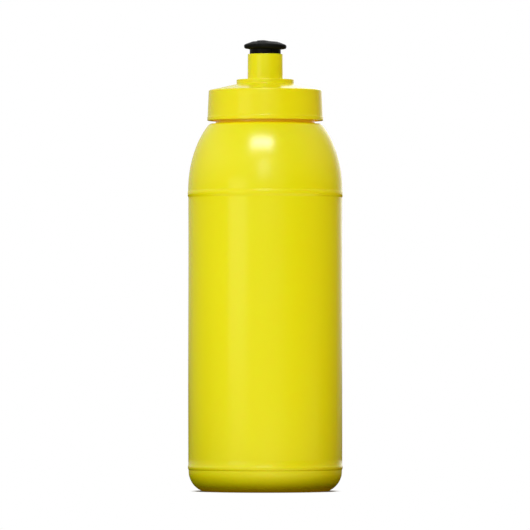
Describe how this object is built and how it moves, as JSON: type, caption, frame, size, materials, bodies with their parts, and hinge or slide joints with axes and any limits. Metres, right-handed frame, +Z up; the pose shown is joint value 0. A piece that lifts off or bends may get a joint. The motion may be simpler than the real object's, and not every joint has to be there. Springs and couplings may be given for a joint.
{
  "type": "bicycle water bottle",
  "caption": "Squeeze water bottle for a bicycle cage: round shell with beads and domed shoulder, screw cap with tower, and a push-pull nozzle with a soft mushroom tip.",
  "frame": {"origin": "centre of the foot ring, on the surface that the bottle stands on", "axes": "+Z up along the bottle's axis; the bottle is round, so +X and +Y are any two horizontal directions"},
  "size_m": [0.0748, 0.0748, 0.2169],
  "materials": {
    "bottle_plastic": "soft polyethylene, satin gloss, slightly translucent",
    "cap_plastic": "injection-moulded polyethylene, satin gloss",
    "gasket_rubber": "matt silicone",
    "valve_plastic": "matt",
    "stem_plastic": "satin",
    "soft_tip": "matt soft-touch"
  },
  "bodies": {
    "bottle": {"bottle": "bottle_plastic"},
    "gasket": {"cap_gasket": "gasket_rubber"},
    "cap": {"screw_cap": "cap_plastic", "valve_post": "valve_plastic"},
    "nozzle": {"nozzle_stem": "stem_plastic", "mouthpiece": "soft_tip"}
  },
  "joints": [
    {"name": "cap_rise", "type": "slide", "parent": "bottle", "child": "gasket", "axis": [0, 0, 1], "range_m": [0, 0.016]},
    {"name": "cap_turn", "type": "hinge", "parent": "gasket", "child": "cap", "pos_m": [0, 0, 0.185], "axis": [0, 0, 1], "range_deg": [0, 720]},
    {"name": "nozzle_pull", "type": "slide", "parent": "cap", "child": "nozzle", "axis": [0, 0, 1], "range_m": [0, 0.007]}
  ],
  "couplings": [
    {"joint": "cap_rise", "follows": "cap_turn", "m_per_rad": 0.001273}
  ]
}
